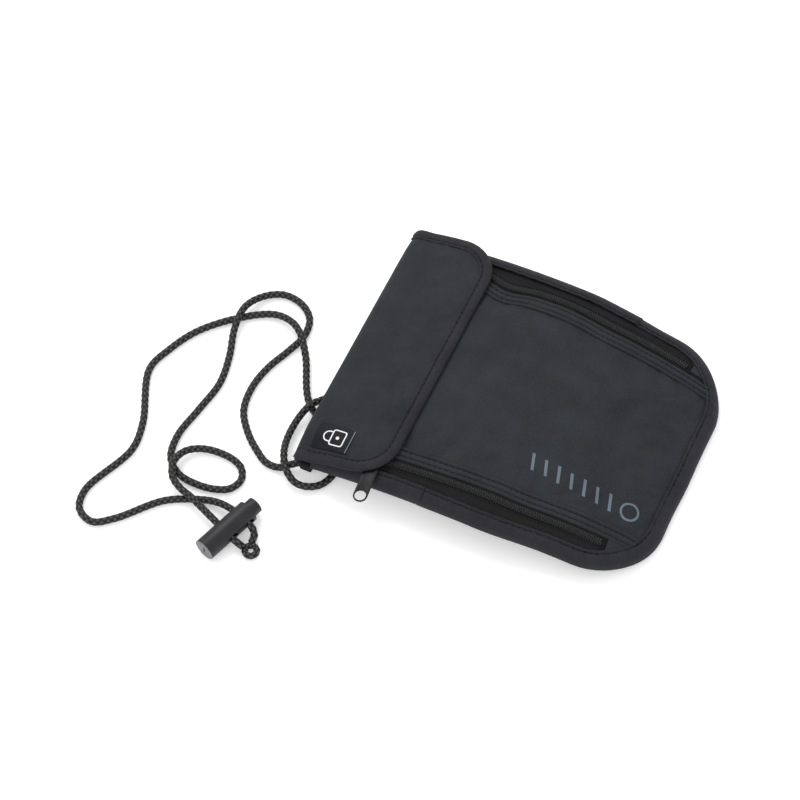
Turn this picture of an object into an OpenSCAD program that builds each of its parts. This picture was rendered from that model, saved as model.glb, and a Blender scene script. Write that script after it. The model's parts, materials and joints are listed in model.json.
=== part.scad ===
// Neck pouch wallet: an arched fabric pouch with a fold-over flap, two zipped
// front pockets and a neck cord with a barrel cord lock.
// +Y points to the fold of the flap, +X to the wearer's left, +Z to the front.

/* [Pouch] */
// Width across the top edge
pouch_w = 140; // [136:1:142]
// Width between the side lines where they meet the bottom line
bottom_w = 126; // [122:1:130]
// Length of the straight top part of the sides, measured from the fold
straight_l = 96; // [80:1:104]
// Length from the fold to the bottom edge, seen from above
pouch_l = 170; // [168:0.5:172]
// Radius of the two bottom corners
corner_r = 35; // [20:1:40]
// Radius of the arch in which the pouch lies
arch_r = 375; // [340:5:450]
// Height of the fold above the table, where the cord passes below it
fold_lift = 5; // [4.6:0.2:6]

/* [Fabric] */
// Thickness of the padded back panel
back_t = 0.6; // [0.4:0.1:0.8]
// Thickness of the radio-blocking liner
liner_t = 0.2; // [0.1:0.05:0.3]
// Clear height of the main pocket
pocket_h = 5; // [4.9:0.1:5.4]
// Thickness of the front panel
front_t = 0.5; // [0.4:0.1:0.7]
// Thickness of one leaf of the binding tape
binding_t = 0.4; // [0.3:0.05:0.5]
// Width of the binding tape on each face
binding_w = 6.5; // [5:0.5:7]

/* [Zips] */
// Distance of each zip from the middle, at the top of the arch
zip_x = 56.1; // [54:0.1:57]
// Angle by which each zip leans towards the middle at the bottom
zip_lean = 2.8; // [1:0.2:3.4]
// Place of the sliders when the zips are closed
slider_y = 47; // [46:0.5:50]
// Lower end of the teeth
coil_low_y = -63; // [-66:1:-60]
// Upper end of the teeth
coil_high_y = 56; // [54:1:60]
// Angle of the left pull from square to its zip
pull_turn = 2; // [0:1:20]

/* [Flap] */
// Length of the flap from the fold to its free edge
flap_l = 46.4; // [44:0.2:48]
// Radius of the two flap corners
flap_r = 20; // [14:1:22]

/* [Cord] */
// Diameter of the braided cord
cord_d = 3.5; // [3:0.1:3.5]
// Length of the cord lock's barrel
lock_l = 28.5; // [28:0.5:32]
// Outside diameter of the barrel
lock_d = 10.8; // [10.6:0.1:12]
// Travel of the plunger
press = 3; // [1:0.5:3]

/* [Hidden] */
$fn = 48;

// The pull on the left zip stands out past the edge, so the pouch's own
// middle lies this far from the middle of the whole object.
middle_x = 6.5;
half_w = pouch_w / 2;
end_y = pouch_l / 2 + 0.5;          // the fold's outer face and the bottom edge
spine_t = 1.2;
fold_y = end_y - spine_t / 2;       // both creases of the flap
fold_gap = 0.4;
mouth_y = fold_y - spine_t / 2 - fold_gap;
bend_y = end_y - straight_l;

// Heights of the layers above the back face, along the arch's radius
back_h = binding_t;
liner_h = back_h + back_t;
pocket_low_h = liner_h + liner_t;
divider_h = pocket_low_h + pocket_h;
divider_t = 0.2;
zip_pocket_h = 0.9;
tape_t = 0.3;
tape_h = divider_h + divider_t + zip_pocket_h;
front_h = tape_h + tape_t;
face_h = front_h + front_t;         // top of the front panel
coil_t = 0.9;
coil_w = 4.2;
coil_slit = 0.6;
plate_t = 0.4;                      // plates of the slider
plate_h = front_h + coil_t + 0.2;
slider_top_h = plate_h + plate_t;
pull_t = 0.5;
pull_gap = 0.15;
pin_head_t = 0.2;
pin_head_h = slider_top_h + pull_t + 2 * pull_gap;
flap_h = pin_head_h + pin_head_t + 0.9;
flap_leaf_t = 0.3;
lining_t = 0.2;
flap_t = 0.6;
lining_h = flap_h + flap_leaf_t - 0.1;
flap_panel_h = lining_h + lining_t;
flap_top_h = flap_panel_h + flap_t;

// The arch: a circle through the bottom edge and the fold
chord = [end_y + fold_y, fold_lift];
chord_u = chord / norm(chord);
arc_drop = sqrt(arch_r * arch_r - chord * chord / 4);
arc_y = (fold_y - end_y) / 2 + chord_u[1] * arc_drop;
arc_z = fold_lift / 2 - chord_u[0] * arc_drop;
arch_fn = 240;

function arch_z(y, h) = arc_z + sqrt(pow(arch_r + h, 2) - pow(y - arc_y, 2));
function arch_turn(y) = asin((y - arc_y) / arch_r);

fabric = [0.21, 0.22, 0.23];
trim = [0.16, 0.16, 0.17];
zip_black = [0.10, 0.10, 0.10];
cord_black = [0.15, 0.15, 0.15];
plastic = [0.22, 0.22, 0.24];

module pouch_frame() {
    translate([middle_x, 0, 0]) children();
}

// The space between two heights above the arched back face
module shell(low_h, high_h) {
    translate([0, arc_y, arc_z]) rotate([0, 90, 0]) difference() {
        cylinder(r = arch_r + high_h, h = 180, center = true, $fn = arch_fn);
        cylinder(r = arch_r + low_h, h = 181, center = true, $fn = arch_fn);
    }
}

// A tall block with the plan shape of its child
module column() {
    translate([0, 0, -10]) linear_extrude(50) children();
}

// An arched sheet between two heights, cut from its children's columns
module layer(low_h, high_h) {
    intersection() {
        shell(low_h, high_h);
        union() children();
    }
}

// Puts children on the arch at y, square to its surface
module on_arch(y, h) {
    translate([0, arc_y, arc_z]) rotate([-arch_turn(y), 0, 0])
        translate([0, 0, arch_r + h]) children();
}

module on_side(side) {
    if (side > 0) children();
    else mirror([1, 0, 0]) children();
}

// A zip's own frame: x = 0 on the teeth's middle line, leaning with the zip
module zip_frame(side) {
    pouch_frame() on_side(side) translate([zip_x, arc_y, 0])
        rotate([0, 0, -zip_lean]) translate([0, -arc_y, 0]) children();
}

// Plan outline of the body, inset all round
side_dir = [half_w - bottom_w / 2, bend_y + end_y] /
    norm([half_w - bottom_w / 2, bend_y + end_y]);
side_n = [side_dir[1], -side_dir[0]];
corner_y = corner_r - end_y;
corner_t = (corner_y - bend_y + corner_r * side_n[1]) / side_dir[1];
corner_x = half_w - corner_r * side_n[0] + side_dir[0] * corner_t;

function right_side(inset) =
    let (reach = corner_r - inset)
    [[half_w - inset, mouth_y], [half_w - inset, bend_y],
        [corner_x + reach * side_n[0], corner_y + reach * side_n[1]],
        [corner_x, corner_y], [corner_x, corner_y - reach]];
function left_side(p) = [for (i = [len(p) - 1 : -1 : 0]) [-p[i][0], p[i][1]]];

module outline(inset) {
    side = right_side(inset);
    column() polygon(concat(side, left_side(side)));
    for (x = [-corner_x, corner_x])
        translate([x, corner_y, 0]) column() circle(r = corner_r - inset, $fn = 96);
}

// The top corners are left free for the cord's anchors
anchor_w = 6.5;
anchor_l = 7.5;
module top_corner(side) {
    on_side(side) translate([half_w - anchor_w, mouth_y - anchor_l, 0])
        column() square([anchor_w + 1, anchor_l + 2]);
}

module plan_box(x, y, w, l) {
    translate([x, y, 0]) column() square([w, l]);
}

module body_outline(inset) {
    difference() {
        outline(inset);
        top_corner(1);
        top_corner(-1);
    }
}

wall = 0.9;                         // thickness of the binding round the edge

module back_panel() color(fabric) pouch_frame() {
    layer(back_h, liner_h) body_outline(wall);
}

module shield_liner() color("silver") pouch_frame() {
    layer(liner_h, pocket_low_h) body_outline(wall);
}

module divider_panel() color(fabric) pouch_frame() {
    layer(divider_h, divider_h + divider_t) body_outline(wall);
}

// The strip of plan between two distances from the teeth's middle line,
// positive towards the pouch's middle. Strips that are cut by an outline
// reach past it on every side.
strip_low = coil_low_y - 30;
strip_high = 120;
strip_out = -40;
module zip_strip(from, to, low_y, high_y) {
    translate([-to, low_y, 0]) column() square([to - from, high_y - low_y]);
}

module in_zip_plan(side) {
    on_side(side) translate([zip_x, arc_y, 0])
        rotate([0, 0, -zip_lean]) translate([0, -arc_y, 0]) children();
}

tape_in = 8;                        // tape towards the middle
panel_edge = 3.2;                   // gap from the teeth's middle to the panel
facing_w = 6;

module front_panel() color(fabric) pouch_frame() {
    layer(front_h, face_h) difference() {
        body_outline(wall);
        for (side = [-1, 1]) in_zip_plan(side)
            zip_strip(strip_out, panel_edge, strip_low, strip_high);
    }
}

module facing(side) color(fabric) pouch_frame() {
    layer(face_h, face_h + binding_t) intersection() {
        outline(binding_w + 0.1);
        in_zip_plan(side)
            zip_strip(panel_edge, panel_edge + facing_w, strip_low, strip_high);
    }
}

module facing_left() facing(-1);
module facing_right() facing(1);

module zip_tape(side) color(zip_black) pouch_frame() {
    layer(tape_h, front_h) intersection() {
        body_outline(wall);
        in_zip_plan(side) {
            zip_strip(coil_slit / 2, tape_in, strip_low, strip_high);
            zip_strip(strip_out, -coil_slit / 2, strip_low, strip_high);
        }
    }
}

module zip_tape_left() zip_tape(-1);
module zip_tape_right() zip_tape(1);

module zip_coil(side) color(zip_black) pouch_frame() {
    layer(front_h, front_h + coil_t) in_zip_plan(side) {
        zip_strip(coil_slit / 2, coil_w / 2, coil_low_y, coil_high_y);
        zip_strip(-coil_w / 2, -coil_slit / 2, coil_low_y, coil_high_y);
    }
}

module zip_coil_left() zip_coil(-1);
module zip_coil_right() zip_coil(1);

// The stitched bar that closes the lower end of a zip
bar_l = 1.6;
bar_gap = 0.1;
module zip_bar(side) color(trim) pouch_frame() {
    layer(front_h, front_h + coil_t) intersection() {
        outline(binding_w + 0.1);
        in_zip_plan(side) zip_strip(-5, panel_edge - 0.1,
            coil_low_y - bar_gap - bar_l, coil_low_y - bar_gap);
    }
}

module zip_bar_left() zip_bar(-1);
module zip_bar_right() zip_bar(1);

// The small fabric corner below a zip's bar
module zip_end_tab(side) color(fabric) pouch_frame() {
    layer(front_h, face_h) intersection() {
        outline(wall);
        in_zip_plan(side) zip_strip(strip_out, panel_edge - 0.1, strip_low,
            coil_low_y - bar_gap - bar_l - 0.1);
    }
}

module zip_end_tab_left() zip_end_tab(-1);
module zip_end_tab_right() zip_end_tab(1);

// Binding tape: two leaves and an edge wall round the body's outline
module binding(high_y, low_y_left, low_y_right) {
    difference() {
        layer(0, face_h + binding_t) difference() {
            body_outline(0);
            outline(binding_w);
            plan_box(-100, high_y[0], 100, 200);
            plan_box(0, high_y[1], 100, 200);
            plan_box(-100, low_y_left - 200, 100, 200);
            plan_box(0, low_y_right - 200, 100, 200);
        }
        layer(back_h, face_h) outline(wall);
    }
}

seam_left_y = 22;                   // where the two tapes overlap
seam_right_y = -31;
seam_gap = 0.1;

module body_binding() color(trim) pouch_frame() {
    binding([seam_left_y, seam_right_y], -100, -100);
}

module side_binding_left() color(trim) pouch_frame() {
    binding([100, -100], seam_left_y + seam_gap, 200);
}

module side_binding_right() color(trim) pouch_frame() {
    binding([-100, 100], 200, seam_right_y + seam_gap);
}

// Slider, built round the arch at its closed place: a wide plate above the
// teeth, a narrow one below the tape, and a thin web between the teeth
slider_l = 8.6;
slider_w = 7;
throat_w = 5.8;
flange_t = 0.5;
web_t = 0.3;
web_l = 3;
low_plate_h = tape_h - 0.65;
pin_r = 0.9;
pin_head_r = 1.6;

module slider_box(w, l, low_h, high_h) {
    translate([-w / 2, -l / 2, low_h]) cube([w, l, high_h - low_h]);
}

module slider(side) color(zip_black) zip_frame(side) on_arch(slider_y, 0) {
    slider_box(slider_w, slider_l, plate_h, slider_top_h);
    for (edge = [-1, 1]) translate([edge * (throat_w - flange_t) / 2, 0, 0])
        slider_box(flange_t, slider_l, front_h + 0.3, plate_h + 0.1);
    slider_box(web_t, web_l, low_plate_h + 0.1, plate_h + 0.1);
    slider_box(throat_w - 0.6, slider_l - 1.2, low_plate_h, low_plate_h + plate_t);
    translate([0, 0, plate_h + 0.1]) cylinder(r = pin_r, h = pin_head_h - plate_h);
    translate([0, 0, pin_head_h]) cylinder(r = pin_head_r, h = pin_head_t);
}

module slider_left() slider(-1);
module slider_right() slider(1);

// Pull: a flat tab that swivels on the slider's pin, with an eye at its end
pull_l = 21.75;                     // pin to the middle of the eye
eye_r = 2.65;
eye_rim = 0.75;
pull_root_r = 2.3;
pull_clear = 0.15;

module pull_tab() {
    difference() {
        union() {
            cylinder(r = pull_root_r, h = pull_t);
            linear_extrude(pull_t) polygon([
                [0, -pull_root_r], [4, -eye_r - eye_rim + 0.2],
                [pull_l, -eye_r - eye_rim], [pull_l, eye_r + eye_rim],
                [4, eye_r + eye_rim - 0.2], [0, pull_root_r]]);
            translate([pull_l, 0, 0]) cylinder(r = eye_r + eye_rim, h = pull_t);
        }
        translate([0, 0, -1]) cylinder(r = pin_r + pull_clear, h = 3);
        translate([pull_l, 0, -1]) cylinder(r = eye_r, h = 3);
    }
}

module pull(side, turn) color(zip_black) zip_frame(side) {
    on_arch(slider_y, slider_top_h + pull_gap) rotate([0, 0, turn]) pull_tab();
}

// The right pull lies under the flap, along its zip towards the fold
module pull_left() pull(-1, -pull_turn);
module pull_right() pull(1, 90);

strip_w = 56;
strip_l = 14;
strip_y = 46;
hook_t = 1.2;
module loop_strip() color("black") pouch_frame() {
    layer(face_h, flap_h - hook_t - 0.2)
        plan_box(-strip_w / 2, strip_y, strip_w, strip_l);
}

module hook_strip() color("black") pouch_frame() {
    layer(flap_h - hook_t, lining_h)
        plan_box(-strip_w / 2, strip_y, strip_w, strip_l);
}

// The flap folds in two creases: the spine turns about the back panel's
// end, and the flap turns about the spine's top.
spine_w = pouch_w - 2 * anchor_w - 1;
crease_z = arch_z(fold_y, (back_h + liner_h) / 2);
flap_crease_z = arch_z(fold_y, flap_panel_h + flap_t / 2);
spine_top_gap = 0.9;

module flap_spine() color(fabric) pouch_frame() {
    translate([-spine_w / 2, fold_y - spine_t / 2, crease_z])
        cube([spine_w, spine_t, flap_crease_z - spine_top_gap - crease_z]);
    translate([0, fold_y, crease_z]) rotate([0, 90, 0])
        cylinder(r = spine_t / 2, h = spine_w, center = true);
}

flap_corner = [half_w - flap_r, end_y - flap_l + flap_r];
function flap_side(inset, top_y) =
    let (reach = flap_r - inset)
    [[half_w - inset, top_y], [half_w - inset, flap_corner[1]], flap_corner,
        flap_corner - [0, reach]];

module flap_outline(inset, top_y) {
    side = flap_side(inset, top_y);
    column() polygon(concat(side, left_side(side)));
    for (x = [-flap_corner[0], flap_corner[0]])
        translate([x, flap_corner[1], 0]) column() circle(r = flap_r - inset, $fn = 96);
}

module flap_panel() color(fabric) pouch_frame() {
    layer(flap_panel_h, flap_top_h) flap_outline(wall, fold_y);
    translate([0, fold_y, flap_crease_z]) rotate([0, 90, 0])
        cylinder(r = flap_t / 2, h = pouch_w - 2 * wall, center = true);
}

module flap_lining() color(fabric) pouch_frame() {
    layer(lining_h, flap_panel_h) flap_outline(wall, mouth_y);
}

flap_binding_w = 6;
module flap_binding() color(trim) pouch_frame() {
    difference() {
        layer(flap_h, flap_top_h + flap_leaf_t) difference() {
            flap_outline(0, mouth_y);
            flap_outline(flap_binding_w, mouth_y + 1);
        }
        layer(lining_h, flap_top_h) flap_outline(wall, mouth_y + 1);
    }
}

label_w = 13;
label_l = 18;
label_x = -half_w + flap_binding_w + 0.5;
label_y = 61.5;
module flap_label() color([0.05, 0.05, 0.08]) pouch_frame() {
    layer(flap_top_h, flap_top_h + 0.3)
        plan_box(label_x, label_y, label_w, label_l);
}

// Folded tab sewn into each top corner, which holds an end of the cord
anchor_low_z = 2.6;
anchor_high_z = 8.4;
cord_exit_y = mouth_y - 1.4;
module cord_anchor(side) color(trim) pouch_frame() on_side(side) {
    translate([half_w - anchor_w, mouth_y - anchor_l, anchor_low_z])
        cube([anchor_w - 0.5, anchor_l - 1.4, anchor_high_z - anchor_low_z]);
}

module cord_anchor_left() cord_anchor(-1);
module cord_anchor_right() cord_anchor(1);

// Cord lock: its own frame has x along the barrel from the closed end
lock_x = -121.5;
lock_y = 102.5;
lock_turn = -19;
lock_bore_r = 4.1;
plunger_r = 4.0;
lock_floor = 2.5;
hole_s = [13.6, 23.8];              // the two cross holes along the barrel
hole_r = 2.1;
button_out = 4.8;
plunger_start = 9.5;
lock_z = lock_d / 2;

module lock_frame() {
    translate([lock_x, lock_y, lock_z]) rotate([0, 0, lock_turn]) children();
}

module along_x(r, from, to) {
    translate([from, 0, 0]) rotate([0, 90, 0]) cylinder(r = r, h = to - from);
}

// An oval hole across the barrel, from s - r to s + r + stretch
module cross_slot(s, r, stretch, height) {
    translate([s - r, -20, -height / 2]) cube([2 * r + stretch, 40, height]);
}

module cord_lock_barrel() color(plastic) lock_frame() {
    difference() {
        along_x(lock_d / 2, 0, lock_l);
        along_x(lock_bore_r, lock_floor, lock_l + 1);
        for (s = hole_s) {
            for (end = [0, 1.2]) translate([s + end, 0, 0])
                rotate([90, 0, 0]) cylinder(r = hole_r, h = 40, center = true);
            translate([s, -20, -hole_r]) cube([1.2, 40, 2 * hole_r]);
        }
        translate([-1, -0.4, -1.6]) cube([1.6, 0.8, 3.2]);
    }
}

module cord_lock_plunger() color(plastic) lock_frame() {
    difference() {
        along_x(plunger_r, plunger_start, lock_l + button_out);
        for (s = hole_s)
            cross_slot(s, hole_r, press, 2 * hole_r);
    }
}

// Route helpers: a tube of eight sides through the points of a list
function unit(v) = v / norm(v);
function tangent(p, i) = unit(p[min(i + 1, len(p) - 1)] - p[max(i - 1, 0)]);
function ring(centre, a, b, r, sides) =
    [for (k = [0 : sides - 1])
        let (turn = (k + 0.5) * 360 / sides)
        centre + r * (cos(turn) * a + sin(turn) * b)];
function cord_ring(p, i, r) =
    let (t = tangent(p, i), a = unit(cross(t, [0, 0, 1])))
    ring(p[i], a, cross(a, t), r, 8);

// A closed tube through a list of rings, each a list of points
module tube(rings) {
    last = len(rings) - 1;
    sides = len(rings[0]);
    polyhedron(
        points = [for (r = rings) each r],
        faces = concat(
            [[for (k = [0 : sides - 1]) k]],
            [[for (k = [0 : sides - 1]) last * sides + sides - 1 - k]],
            [for (i = [0 : last - 1], k = [0 : sides - 1])
                let (n = (k + 1) % sides)
                [i * sides + k, (i + 1) * sides + k,
                    (i + 1) * sides + n, i * sides + n]]));
}

spring_r = 2.6;
spring_wire = 0.35;
spring_turns = 4;
module cord_lock_spring() color("silver") lock_frame() {
    from = lock_floor + spring_wire;
    to = plunger_start - spring_wire;
    steps = spring_turns * 16;
    tube([for (i = [0 : steps])
        let (turn = i * 22.5, out = [0, cos(turn), sin(turn)])
        ring([from + (to - from) * i / steps, 0, 0] + spring_r * out,
            [1, 0, 0], out, spring_wire, 6)]);
}

// The knot: a small ring that joins both ends of the cord
knot_at = [-111, 84];
knot_r = 2.75;
knot_rope_r = 1.55;
module cord_knot() color(cord_black) {
    translate([knot_at[0], knot_at[1], knot_rope_r])
        rotate_extrude() translate([knot_r, 0]) circle(r = knot_rope_r);
}

// Cord routes: x, y and the height of the cord's underside above the table
LEFT = [
    [-60, 82, 2.85], [-63, 86.5, 2.1], [-66, 91.5, 0.4], [-66, 98, 0],
    [-61.5, 105.5, 0], [-54.5, 113.5, 0], [-44.5, 120.5, 0],
    [-31.5, 122.5, 0], [-18.5, 120.5, 0], [-6, 115.8, 0], [5, 112.6, 0],
    [15, 114.5, 0], [21, 121.5, 0], [22.5, 131, 0], [19, 138, 0.5],
    [11, 143.5, 2.4], [3.5, 145, 3.7], [-7, 144, 2.2], [-20.5, 140, 0.3],
    [-36, 137.5, 0], [-53.5, 140, 0], [-70, 142.5, 0],
    [-82, 140, 0], [-88.5, 132.5, 0], [-90, 122, 0], [-88.7, 113.2, 0],
    [-85.5, 107.2, 0], [-79.5, 104.7, 0], [-73.6, 107.4, 0],
    [-70.6, 114.5, 0], [-71.5, 127, 0.6], [-77, 134.5, 2.2],
    [-85.5, 136.5, 3.8], [-92.5, 133.5, 3.6], [-96.7, 127.5, 3.8],
    [-99, 120.5, 3.7], [-102.3, 112.5, 3.4], [-108.6, 98, 3.65],
    [-111, 91.5, 3], [-111.4, 87.2, 0.9]];
RIGHT = [
    [-108, 85.4, 0.2], [-103.6, 85.8, 1.6], [-101.1, 88.6, 3.5],
    [-99, 94.7, 3.65], [-96.9, 100.8, 3.55], [-95.5, 108.5, 1.8],
    [-96.5, 116.5, 0.2], [-104, 132, 0], [-122, 148.5, 0],
    [-128, 157.5, 0], [-124.3, 165.8, 0], [-114.5, 168.2, 0],
    [-86, 158.5, 0], [-71, 160.5, 0], [-42.5, 171.5, 0], [-29, 168, 0],
    [-14, 160.5, 0], [1, 146, 0], [9.8, 131, 0.6], [8.5, 121, 2.4],
    [3.5, 114, 3.7], [-6, 106.5, 1.7], [-27.5, 94.5, 0],
    [-41, 75.5, 0], [-55, 67, 0], [-65.5, 69.3, 0.3],
    [-70.3, 75, 1.2], [-71.3, 80.8, 2.8], [-68, 86.6, 4.8],
    [-61.5, 91, 5.1], [-51.5, 94.3, 2.2], [-41, 94.6, 2.2],
    [-34, 93, 3.8], [-29.5, 91.3, 3.7], [-22.8, 87.5, 1.4], [12, 71, 0],
    [42, 66, 0], [61, 66, 0.2], [70.3, 69.2, 1.7], [73, 77, 2.85]];

module cord(route) {
    p = [for (q = route) [q[0], q[1], q[2] + cord_d / 2]];
    tube([for (i = [0 : len(p) - 1]) cord_ring(p, i, cord_d / 2)]);
}

module neck_cord_left() color(cord_black) cord(LEFT);
module neck_cord_right() color(cord_black) cord(RIGHT);

back_panel();
shield_liner();
divider_panel();
front_panel();
facing_left();
facing_right();
zip_tape_left();
zip_tape_right();
zip_coil_left();
zip_coil_right();
zip_bar_left();
zip_bar_right();
zip_end_tab_left();
zip_end_tab_right();
slider_left();
slider_right();
pull_left();
pull_right();
body_binding();
side_binding_left();
side_binding_right();
loop_strip();
flap_spine();
flap_panel();
flap_lining();
flap_binding();
flap_label();
hook_strip();
cord_anchor_left();
cord_anchor_right();
neck_cord_left();
neck_cord_right();
cord_knot();
cord_lock_barrel();
cord_lock_plunger();
cord_lock_spring();
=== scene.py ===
import json
import math

import bmesh
import bpy
import numpy as np
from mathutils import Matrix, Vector
from mathutils.bvhtree import BVHTree
from mathutils.geometry import delaunay_2d_cdt


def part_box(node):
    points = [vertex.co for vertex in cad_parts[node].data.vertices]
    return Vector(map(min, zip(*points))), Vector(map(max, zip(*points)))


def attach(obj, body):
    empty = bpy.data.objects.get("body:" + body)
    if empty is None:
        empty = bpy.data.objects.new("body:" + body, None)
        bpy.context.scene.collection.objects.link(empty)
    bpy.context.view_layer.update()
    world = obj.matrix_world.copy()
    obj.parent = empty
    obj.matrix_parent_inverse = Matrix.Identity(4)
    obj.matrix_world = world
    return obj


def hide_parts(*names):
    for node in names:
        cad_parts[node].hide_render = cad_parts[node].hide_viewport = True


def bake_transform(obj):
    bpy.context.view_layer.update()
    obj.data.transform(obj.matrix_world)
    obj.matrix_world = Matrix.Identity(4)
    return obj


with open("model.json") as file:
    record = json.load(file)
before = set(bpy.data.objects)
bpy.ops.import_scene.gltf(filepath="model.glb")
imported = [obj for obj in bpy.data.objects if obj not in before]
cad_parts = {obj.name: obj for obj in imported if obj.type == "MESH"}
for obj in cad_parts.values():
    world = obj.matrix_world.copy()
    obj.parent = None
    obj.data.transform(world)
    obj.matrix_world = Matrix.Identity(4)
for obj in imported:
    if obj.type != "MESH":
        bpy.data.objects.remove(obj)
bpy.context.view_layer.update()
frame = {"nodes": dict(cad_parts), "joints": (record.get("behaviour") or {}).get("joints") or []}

# The shapes are worked out in millimetres and turned into metres as they are made.
MM = 0.001
JOINTS = {joint["name"]: joint for joint in frame["joints"]}
LEFT_ZIP = [v / MM for v in JOINTS["slider_left_travel"]["pos_m"]]
RIGHT_ZIP = [v / MM for v in JOINTS["slider_right_travel"]["pos_m"]]

# The pouch lies on an arch, whose centre line is the axis on which the sliders travel.
MIDDLE_X = (LEFT_ZIP[0] + RIGHT_ZIP[0]) / 2
ZIP_X = (RIGHT_ZIP[0] - LEFT_ZIP[0]) / 2
ARC_Y, ARC_Z = RIGHT_ZIP[1], RIGHT_ZIP[2]
ARCH_R = (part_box("back_panel")[1].z - 0.001) / MM - ARC_Z
ZIP_LEAN = math.atan2(-JOINTS["slider_right_travel"]["axis"][1],
                      JOINTS["slider_right_travel"]["axis"][0])

# Plan of the pouch, about its own middle
HALF_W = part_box("flap_binding")[1].x / MM - MIDDLE_X
END_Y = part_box("flap_spine")[1].y / MM
MOUTH_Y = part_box("front_panel")[1].y / MM
STRAIGHT_L = 96
BEND_Y = END_Y - STRAIGHT_L
BOTTOM_W = 126
CORNER_R = 35
FLAP_R = 20
FLAP_LOW_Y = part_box("flap_binding")[0].y / MM
ANCHOR_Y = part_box("cord_anchor_left")[0].y / MM
BINDING_W = 6.5
COIL_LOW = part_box("zip_coil_left")[0].y / MM
TEETH_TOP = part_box("zip_coil_left")[1].y / MM

# The neck cord and its braid
CORD_D = 3.5
CORD_STEP = 0.42
STRANDS = 4
BRAID_PITCH = 3.1
BRAID_DEPTH = 0.42

# Sewing thread: how high a seam lies over each cloth
THREAD_R = 0.2
FACING_SEAM_LIFT = 0.27
TAPE_SEAM_LIFT = -0.22
EDGE_SEAM_LIFT = 0.24
FLAP_SEAM_LIFT = 0.16


# ---------------------------------------------------------------- camera and cords

def make_camera():
    """The photograph's view: from the pouch's left side, 58 degrees above the table."""
    data = bpy.data.cameras.new("camera")
    data.lens = 132.7
    data.sensor_width = 36
    data.clip_end = 20
    camera = bpy.data.objects.new("camera", data)
    bpy.context.scene.collection.objects.link(camera)
    camera.location = (-0.6763, -0.2517, 1.1888)
    look = Vector((-0.00756, 0.05623, 0)) - camera.location
    camera.rotation_euler = look.to_track_quat("-Z", "Y").to_euler()
    bpy.context.scene.camera = camera


make_camera()

# Each point is x, y and the height of the cord's underside, in metres.
LEFT_ROUTE = [
    (-0.06, 0.082, 0.00285), (-0.063, 0.0865, 0.0021), (-0.066, 0.0915, 0.0004),
    (-0.066, 0.098, 0), (-0.0615, 0.1055, 0), (-0.0545, 0.1135, 0), (-0.0445, 0.1205, 0),
    (-0.0315, 0.1225, 0), (-0.0185, 0.1205, 0), (-0.006, 0.1158, 0), (0.005, 0.1126, 0),
    (0.015, 0.1145, 0), (0.021, 0.1215, 0), (0.0225, 0.131, 0), (0.019, 0.138, 0.0005),
    (0.011, 0.1435, 0.0024), (0.0035, 0.145, 0.0037), (-0.007, 0.144, 0.0022),
    (-0.0205, 0.14, 0.0003), (-0.036, 0.1375, 0), (-0.0535, 0.14, 0), (-0.07, 0.1425, 0),
    (-0.082, 0.14, 0), (-0.0885, 0.1325, 0), (-0.09, 0.122, 0), (-0.0887, 0.1132, 0),
    (-0.0855, 0.1072, 0), (-0.0795, 0.1047, 0), (-0.0736, 0.1074, 0), (-0.0706, 0.1145, 0),
    (-0.0715, 0.127, 0.0006), (-0.077, 0.1345, 0.0022), (-0.0855, 0.1365, 0.0038),
    (-0.0925, 0.1335, 0.0036), (-0.0967, 0.1275, 0.0038), (-0.099, 0.1205, 0.0037),
    (-0.1023, 0.1125, 0.0034), (-0.1086, 0.098, 0.00365), (-0.111, 0.0915, 0.003),
    (-0.1114, 0.0872, 0.0009),
]

RIGHT_ROUTE = [
    (-0.108, 0.0854, 0.0002), (-0.1036, 0.0858, 0.0016), (-0.1011, 0.0886, 0.0035),
    (-0.099, 0.0947, 0.00365), (-0.0969, 0.1008, 0.00355), (-0.0955, 0.1085, 0.0018),
    (-0.0965, 0.1165, 0.0002), (-0.104, 0.132, 0), (-0.122, 0.1485, 0), (-0.128, 0.1575, 0),
    (-0.1243, 0.1658, 0), (-0.1145, 0.1682, 0), (-0.086, 0.1585, 0), (-0.071, 0.1605, 0),
    (-0.0425, 0.1715, 0), (-0.029, 0.168, 0), (-0.014, 0.1605, 0), (0.001, 0.146, 0),
    (0.0098, 0.131, 0.0006), (0.0085, 0.121, 0.0024), (0.0035, 0.114, 0.0037),
    (-0.006, 0.1065, 0.0017), (-0.0275, 0.0945, 0), (-0.041, 0.0755, 0), (-0.055, 0.067, 0),
    (-0.0655, 0.0693, 0.0003), (-0.0703, 0.075, 0.0012), (-0.0713, 0.0808, 0.0028),
    (-0.068, 0.0866, 0.0048), (-0.0615, 0.091, 0.0051), (-0.0515, 0.0943, 0.0022),
    (-0.041, 0.0946, 0.0022), (-0.034, 0.093, 0.0038), (-0.0295, 0.0913, 0.0037),
    (-0.0228, 0.0875, 0.0014), (0.012, 0.071, 0), (0.042, 0.066, 0), (0.061, 0.066, 0.0002),
    (0.0703, 0.0692, 0.0017), (0.073, 0.077, 0.00285),
]


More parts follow.
